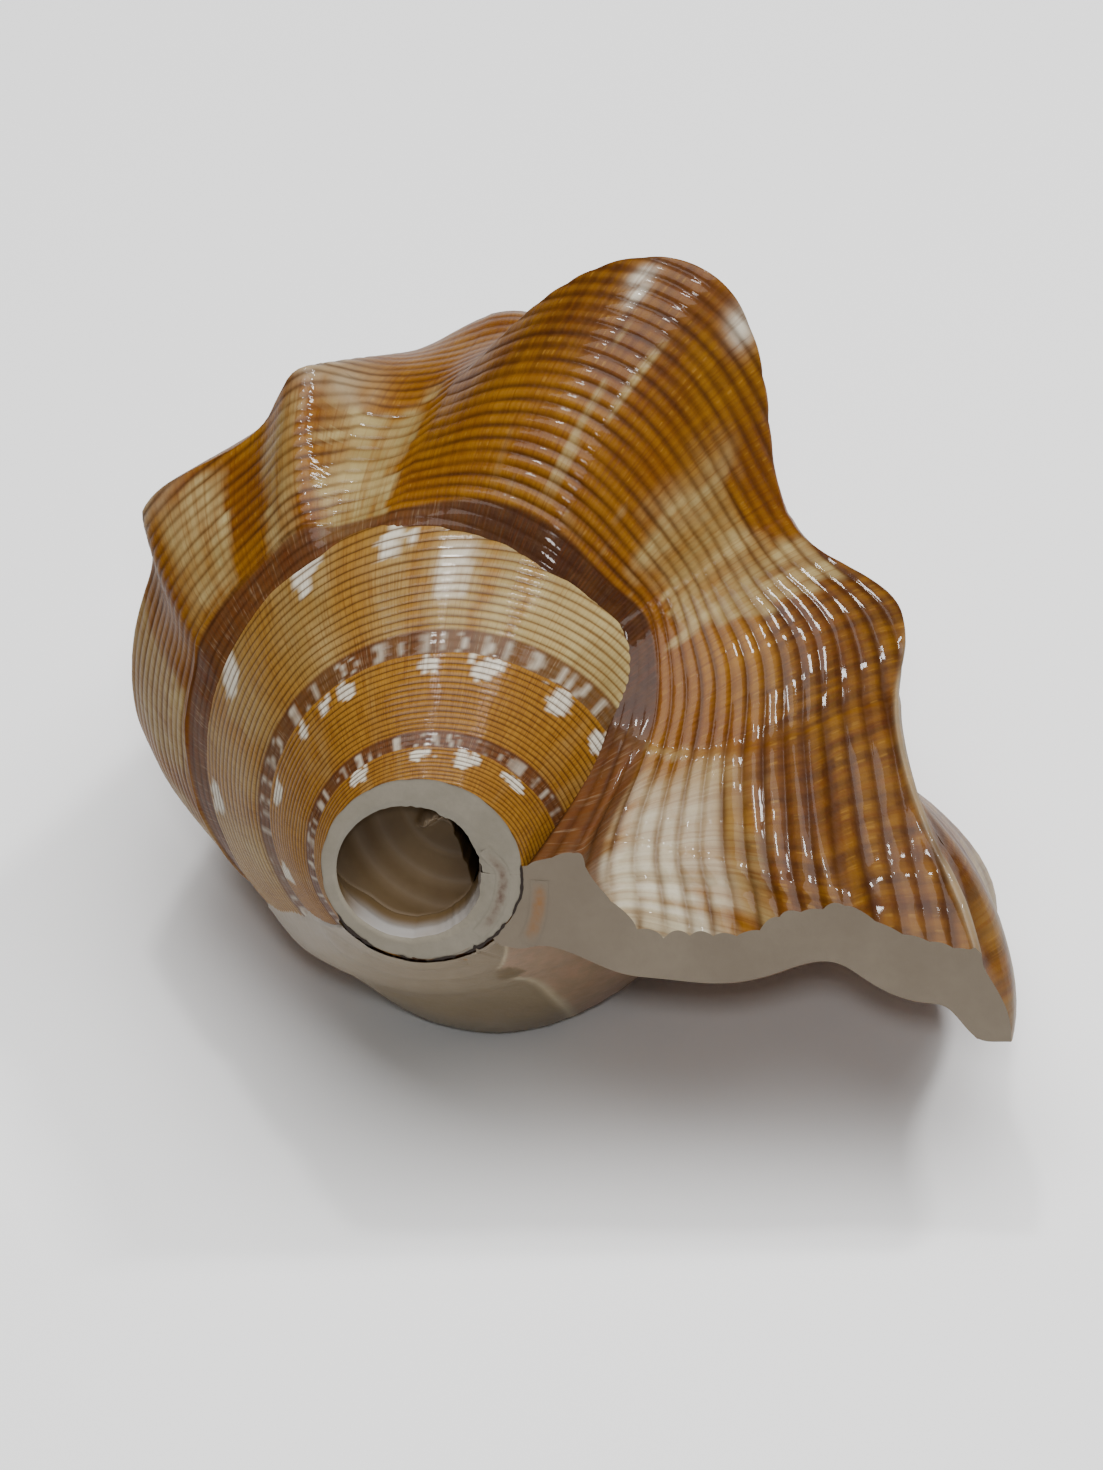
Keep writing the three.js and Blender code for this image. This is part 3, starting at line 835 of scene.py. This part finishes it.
def outermost(points):
    """Radius of the outermost of some points, for every degree of azimuth from -180."""
    azimuth = np.degrees(np.arctan2(points[:, 1], points[:, 0]))
    radius = np.zeros(360)
    np.maximum.at(radius, np.floor(azimuth + 180).astype(int) % 360, np.hypot(*points.T))
    for i in np.flatnonzero(radius == 0):
        radius[i] = radius[i - 1]
    return radius


SPIRE_RADIUS = outermost(spire_cut)


def ring_radius(azimuth):
    return np.interp(azimuth, np.arange(-179.5, 180), SPIRE_RADIUS, period=360)


def bore_edge(azimuth):
    chips = 0.5 * (layered(azimuth / 13, 0, 61) - 0.5) + 0.25 * (noise(azimuth / 4, 2, 62) - 0.5)
    return BORE_RADIUS + chips * smooth(np.abs((azimuth % 360) - 180), 0, 170)


def ring_face():
    azimuth = np.linspace(0, 360, 361)
    a = np.radians(azimuth)
    inner_x = BORE_CENTRE[0] + bore_edge(azimuth) * np.cos(a)
    inner_y = BORE_CENTRE[1] + bore_edge(azimuth) * np.sin(a)
    outer_azimuth = np.degrees(np.arctan2(inner_y, inner_x))
    radius = ring_radius(outer_azimuth)
    outer_x = radius * np.cos(np.radians(outer_azimuth))
    outer_y = radius * np.sin(np.radians(outer_azimuth))
    columns = []
    steps = 10
    for k in range(steps + 1):
        t = k / steps
        x = inner_x + (outer_x - inner_x) * t
        y = inner_y + (outer_y - inner_y) * t
        dip = 0.25 * (1 - smooth(t, 0, 0.2)) + 0.06 * smooth(t, 0.85, 1)
        uneven = 0.1 * (layered(x * 0.8, y * 0.8, 63) - 0.5)
        columns.append(np.stack([x, y, SAW - dip + uneven * (0 < k < steps)], -1))
    mesh = grid_mesh("ring", np.stack(columns), {}, flip=True)
    place(mesh, "sawn_ring", SAWN)


ring_face()


def resampled(points, spacing):
    """The same outline with evenly spaced points, rounded a little at its corners."""
    points = np.array(points)
    along = np.r_[0, np.cumsum(np.linalg.norm(np.diff(points, axis=0), axis=1))]
    where = np.linspace(0, along[-1], max(2, int(along[-1] / spacing)))
    dense = np.stack([np.interp(where, along, points[:, k]) for k in range(points.shape[1])], -1)
    for _ in range(6):
        dense[1:-1] = (dense[:-2] + 2 * dense[1:-1] + dense[2:]) / 4
    return dense


PLATE_START = 8.4         # x at which the sawn face's lower edge meets the ring


def wing_face():
    """The wing's sawn edge, which runs on beside the ring as far as the callus."""
    upper = np.concatenate([ramp_cut, side_cut])
    upper = upper[np.argsort(np.hypot(*upper.T))]
    below = np.stack(lower_edge(PLATE_START, 80), -1)[::-1]
    lower = resampled(np.concatenate([upper[-1:], below]), 0.4)
    last = math.degrees(math.atan2(lower[-1, 1], lower[-1, 0]))
    first = math.degrees(math.atan2(upper[0, 1], upper[0, 0]))
    azimuth = np.radians(np.linspace(last, first, 50))
    radius = ring_radius(np.degrees(azimuth)) + 0.12
    beside_ring = np.stack([radius * np.cos(azimuth), radius * np.sin(azimuth)], -1)
    loop = np.concatenate([upper, lower, beside_ring])
    keep = [0]
    for i in range(1, len(loop)):
        if np.linalg.norm(loop[i] - loop[keep[-1]]) > 0.03:
            keep.append(i)
    flat = [Vector(loop[i]) for i in keep]
    verts, _, faces, *_ = delaunay_2d_cdt(flat, [], [list(range(len(flat)))], 1, 1e-4)
    mesh = bpy.data.meshes.new("wing_face")
    mesh.from_pydata([(v.x, v.y, SAW) for v in verts], [], [tuple(f) for f in faces])
    # painted shade: this face gets darker greys than the ring in the same plane
    place(mesh, "sawn_wing", SHADED_SAWN_WING, False)


wing_face()


def cracks():
    """Dark hairline gaps where the ring meets the callus and the wing."""
    parts = []
    for start, stop, width in CRACKS:
        azimuth = np.arange(start, stop, 1.0)
        a = np.radians(azimuth)
        radius = ring_radius(azimuth) + 0.25 * (layered(azimuth / 7, 0, 64) - 0.5)
        ends = span(azimuth, start + 2, stop - 2, 2)
        half = width * (0.4 + 0.9 * noise(azimuth / 3, 1, 65)) * ends / 2
        rows = []
        for side in (-1, 1):
            r = radius + half * side
            rows.append(np.stack([r * np.cos(a), r * np.sin(a), SAW + 0.03 + 0 * a], -1))
        parts.append(grid_mesh("crack", np.stack(rows), {}, flip=True))
    bm = bmesh.new()
    for part in parts:
        bm.from_mesh(part)
        bpy.data.meshes.remove(part)
    mesh = bpy.data.meshes.new("cracks")
    bm.to_mesh(mesh)
    bm.free()
    place(mesh, "cracks", CRACK_MATERIAL)


def ribbon(name, path, width, material):
    """A stain along a path in the saw plane, strongest in its middle."""
    path = resampled(path, 0.25)
    ahead = np.gradient(path, axis=0)
    ahead /= np.linalg.norm(ahead, axis=-1, keepdims=True)
    side = np.stack([-ahead[:, 1], ahead[:, 0]], -1)
    along = np.linspace(0, 1, len(path))
    taper = smooth(along, 0, 0.25) * (1 - smooth(along, 0.75, 1))
    rows = []
    stained = []
    for across in np.linspace(-1, 1, 9):
        xy = path + side * (across * width / 2)
        rows.append(np.concatenate([xy, np.full((len(path), 1), SAW + 0.05)], -1))
        middle = math.cos(across * math.pi / 2) ** 1.5
        stained.append(middle * taper * (0.5 + noise(along * 9, 0, 66)))
    mesh = grid_mesh(name, np.stack(rows), {"stained": np.stack(stained)}, flip=True)
    place(mesh, name, material)


def winding(centre, azimuths, radii, settled):
    """A path round a centre.  Its radius has changed by a share of the way called settled."""
    t = np.linspace(0, 1, 24)
    azimuth = np.radians(azimuths[0] + (azimuths[1] - azimuths[0]) * t)
    radius = radii[0] + (radii[1] - radii[0]) * smooth(t, 0, settled)
    x = centre[0] + radius * np.cos(azimuth)
    return np.stack([x, centre[1] + radius * np.sin(azimuth)], -1)


# Azimuths between which a crack runs, and its width.
CRACKS = [(-152, -121, 0.4), (-108, -99, 0.22), (-88, -71, 0.3), (-68, -34, 0.4), (-30, 5, 0.35)]
cracks()
# An orange stain on the plate beside the ring, and the brown line of growth in the ring.
plate_stain = winding((0, 0), (-5, -38), (13.3, 14.4), 1.0)
spiral_line = winding(BORE_CENTRE, (19, -46), (9.1, 10.6), 0.3)
ribbon("plate_stain", plate_stain, 2.0, STAINED_SHADED_WING)
ribbon("ring_spiral_line", spiral_line, 1.5, STAINED_RING)

# ---- Blow hole ----------------------------------------------------------------------------------

BORE_FLOOR = -23.2        # height of the inner wall under the hole's middle
BORE_TILT = 0.27          # how much it falls away towards the back, per millimetre


def bore_slope(azimuth):
    """How much wider the hole is at its floor: undercut towards the back and the older turns."""
    return 1.2 - 2.0 * smooth(np.cos(np.radians(azimuth + 65)), -0.3, 0.4)


def bore_ring(radius, azimuth, z):
    a = np.radians(azimuth)
    shift = BORE_CENTRE[0] * (0.2 + 0.8 * radius / BORE_RADIUS)
    x = shift + radius * np.cos(a)
    y = BORE_CENTRE[1] + radius * np.sin(a)
    return np.stack([x, y, z + 0 * x], -1)


def bore_wall():
    azimuth = np.linspace(0, 360, 241)
    radius = bore_edge(azimuth) + bore_slope(azimuth)
    floor = BORE_FLOOR - BORE_TILT * bore_ring(radius, azimuth, 0 * azimuth)[..., 1]
    ventral = smooth(np.cos(np.radians(azimuth + 75)), 0.0, 0.6)
    columns = []
    lit = []
    steps = 14
    for k in range(steps + 1):
        t = k / steps
        spiral = 0.18 * np.exp(-(((t - 0.45 - 0.12 * np.sin(np.radians(azimuth))) / 0.08) ** 2))
        radius = bore_edge(azimuth) + bore_slope(azimuth) * t - spiral
        columns.append(bore_ring(radius, azimuth, SAW - 0.25 + (floor - SAW) * t))
        # painted highlight along the upper part of the wall on the ventral side
        lit.append(ventral * (1 - smooth(t, 0.3, 0.8)))
    mesh = grid_mesh("bore_wall", np.stack(columns), {"lit": np.stack(lit)}, flip=False)
    place(mesh, "blow_hole_wall", BORE_WALL)


STUB = (1.7, 2.1)         # middle of the columella's broken, curled stub
STUB_RADIUS = 2.0
GAP_START = (2.5, 3.4)    # the passage opens beyond a line down from here
GAP_LEAN = 0.35
GAP_DEPTH = 10
STUB_HEIGHT = 2.2
STUB_WIDTH = 0.55
GROWTH_CENTRE = (4.0, 6.0)    # the inner wall's arcs of growth turn about it


def bore_bottom():
    """The inner wall that closes the hole, with the passage open along its right side in painted
    shadow.
    """
    azimuth = np.linspace(0, 360, 361)
    columns = []
    light = []
    steps = 90
    for k in range(steps + 1):
        t = k / steps
        radius = (bore_edge(azimuth) + bore_slope(azimuth)) * (1 - t)
        point = bore_ring(radius, azimuth, 0 * azimuth)
        x = point[..., 0]
        y = point[..., 1]
        # arcs of growth, which follow the lower left wall
        from_right = np.hypot(x - GROWTH_CENTRE[0], y - GROWTH_CENTRE[1])
        arcs = np.sin(from_right * 1.9 + 2 * noise(from_right, 0, 72)) * smooth(from_right, 3, 7)
        arcs = arcs * smooth(t, 0, 0.05)
        point[..., 2] = BORE_FLOOR - BORE_TILT * y + 0.06 * arcs
        ragged = 0.3 * (noise(y * 1.5, 0, 73) - 0.5)
        beyond = x - GAP_START[0] - GAP_LEAN * (GAP_START[1] - y) + ragged
        gap = smooth(beyond, 0, 0.45) * smooth(y, -6.5, -4.0)
        curl = np.abs(np.hypot(x - STUB[0], y - STUB[1]) - STUB_RADIUS)
        stub = np.exp(-((curl / STUB_WIDTH) ** 2)) * smooth(y, 2.2, 3.0) * (1 - 0.8 * gap)
        broken = 0.5 + 0.9 * layered(x * 1.7, y * 1.7, 71)
        point[..., 2] += STUB_HEIGHT * stub * broken - GAP_DEPTH * gap
        columns.append(point)
        # painted light on the stub's top, a lighter ring round the floor's edge and lighter growth
        # arcs; painted shadow, as negative values, in the open passage
        rim = np.exp(-((t / 0.03) ** 2)) * 0.5
        light.append(np.clip(1.5 * stub + 0.6 * rim + 0.1 * arcs, 0, 1) * (1 - gap) - gap)
    mesh = grid_mesh("bore_bottom", np.stack(columns), {"light": np.stack(light)}, flip=False)
    place(mesh, "blow_hole_floor", SEPTUM_MATERIAL)


bore_wall()
bore_bottom()

# ---- Callus over the underside ------------------------------------------------------------------


def envelope(azimuth, z):
    """Radius of the outermost turn at one azimuth and height."""
    best = np.zeros_like(z)
    s = np.linspace(0, 2, 240)
    for turn in range(4):
        angle = LIP_AZIMUTH - azimuth - 360 * turn
        r, height = profile(np.full_like(s, angle), s)
        best = np.maximum(best, np.interp(-z, -height, r, left=0, right=0))
    return best


CALLUS_EDGE = 318.0       # azimuth beside the saw plane from which the mouth's salmon shows
CALLUS_MARGIN = 212       # azimuth where the callus starts, beside the ring
CALLUS_THICKNESS = 1.5    # where it is full, beyond the outermost turn
SPOT_AZIMUTH = 294
SPOT_Z = -27.5


def callus():
    heights = SAW - np.r_[np.linspace(0, 1, 5), np.linspace(1.3, 6, 14), np.linspace(6.6, 95, 120)]
    azimuths = np.linspace(200, 352, 160)
    rows = []
    cover = []
    stained = []
    ridge = []
    spot = []
    for azimuth in azimuths:
        r = envelope(azimuth, heights)
        smoothed = np.zeros_like(r)
        for i, z in enumerate(heights):
            width = 1.2 + 0.1 * abs(z - SAW)
            weight = np.exp(-(((heights - z) / width) ** 2))
            smoothed[i] = (r * weight).sum() / weight.sum()
        low = smooth(-heights, 40, 75)
        margin = CALLUS_MARGIN + 66 * low + 6 * (layered(heights / 9, 0.5, 81) - 0.5)
        thick = (CALLUS_THICKNESS + 0.5) * smooth(azimuth, margin - 4, margin + 22) - 0.5
        thick = thick - 3.2 * smooth(-heights, 68, 98)
        flush = smooth(azimuth, 275, 305)
        depth = np.clip((SAW - heights) / 7, 0, 1) ** (0.75 - 0.35 * flush)
        radius = np.maximum(smoothed, r) * depth + ring_radius(azimuth) * (1 - depth)
        radius = radius + 0.4 + (thick - 0.4) * depth
        radius = np.maximum(radius, r + 0.35 - 3 * smooth(azimuth, 286, 300) - 3 * (thick < 0.2))
        turned = np.radians(azimuth + lean(heights))
        x, y = radius * np.cos(turned), radius * np.sin(turned)
        rows.append(np.stack([x, y, heights - 0.03], -1))
        cover.append(thick)
        edge = CALLUS_EDGE - 3.2 * np.minimum(SAW - heights, 8)
        stained.append(0.8 * smooth(azimuth, edge, edge + 2.5))
        ridge.append(0.8 * np.exp(-(((azimuth - edge - 0.5) / 1.0) ** 2)))
        in_spot = 1 - ((azimuth - SPOT_AZIMUTH) / 5) ** 2 - ((heights - SPOT_Z) / 3) ** 2
        spot.append(smooth(in_spot + 1.2 * (layered(heights, azimuth / 3, 82) - 0.5), 0, 0.6))
    layers = {"cover": cover, "stained": stained, "ridge": ridge, "spot": spot}
    layers = {key: np.stack(values) for key, values in layers.items()}
    mesh = grid_mesh("callus", np.stack(rows), layers, flip=True)
    bm = bmesh.new()
    bm.from_mesh(mesh)
    layer = bm.verts.layers.float["cover"]
    hidden = [f for f in bm.faces if max(v[layer] for v in f.verts) < -0.3]
    bmesh.ops.delete(bm, geom=hidden, context="FACES")
    bm.to_mesh(mesh)
    bm.free()
    place(mesh, "callus", CALLUS)


callus()

# ---- Floor, light and camera --------------------------------------------------------------------


def make_floor():
    mesh = bpy.data.meshes.new("floor")
    side = 4.0
    corners = [(-side, -side, 0), (side, -side, 0), (side, side, 0), (-side, side, 0)]
    mesh.from_pydata(corners, [], [(0, 1, 2, 3)])
    n = Nodes("floor")
    n.shader.inputs["Base Color"].default_value = (0.93, 0.93, 0.93, 1)
    n.shader.inputs["Roughness"].default_value = 0.9
    mesh.materials.append(n.material)
    floor = bpy.data.objects.new("floor", mesh)
    bpy.context.collection.objects.link(floor)


def make_light(name, place_m, target, size, power):
    lamp = bpy.data.lights.new(name, "AREA")
    lamp.shape = "RECTANGLE"
    lamp.size, lamp.size_y = size
    lamp.energy = power
    light = bpy.data.objects.new(name, lamp)
    light.location = place_m
    direction = Vector(target) - Vector(place_m)
    light.rotation_euler = direction.to_track_quat("-Z", "Y").to_euler()
    bpy.context.collection.objects.link(light)


# The photo's viewpoint, in the shell's own frame.
CAMERA_YAW = 6.0
CAMERA_PITCH = 25.0
CAMERA_DISTANCE = 870
CAMERA_RIGHT = 16.17      # the view's middle, right of and above the axis at the tip
CAMERA_UP = 22.37


def make_camera():
    across, along = math.sin(math.radians(CAMERA_YAW)), math.cos(math.radians(CAMERA_YAW))
    rise, level = math.sin(math.radians(CAMERA_PITCH)), math.cos(math.radians(CAMERA_PITCH))
    right = Vector((along, -across * rise, -across * level))
    up = Vector((0, level, -rise))
    toward = Vector((across, along * rise, along * level))
    eye = right * CAMERA_RIGHT + up * CAMERA_UP + toward * CAMERA_DISTANCE
    turn = TO_WORLD.to_3x3().normalized()
    axes = Matrix((turn @ right, turn @ up, turn @ toward)).transposed()
    camera_data = bpy.data.cameras.new("camera")
    camera_data.lens = 193.96
    camera_data.sensor_width = 36
    camera_data.clip_start = 0.05
    camera = bpy.data.objects.new("camera", camera_data)
    camera.matrix_world = Matrix.Translation(TO_WORLD @ eye) @ axes.to_4x4()
    bpy.context.collection.objects.link(camera)
    bpy.context.scene.camera = camera


make_floor()
make_light("soft_box", (0.15, -0.1, 1.1), (0, 0, 0.03), (0.9, 0.9), 18)
make_light("key", (0.40, 0.18, 0.77), (0, 0, 0.03), (0.05, 0.12), 3.2)
make_light("top", (0.0, 0.15, 0.95), (0, 0, 0.03), (0.065, 0.065), 2.2)
make_light("front", (0.10, -0.60, 0.65), (0, 0, 0.03), (0.06, 0.06), 1.2)
world = bpy.data.worlds.new("world")
world.use_nodes = True
world.node_tree.nodes["Background"].inputs["Color"].default_value = (1, 1, 1, 1)
world.node_tree.nodes["Background"].inputs["Strength"].default_value = 0.12
bpy.context.scene.world = world
make_camera()
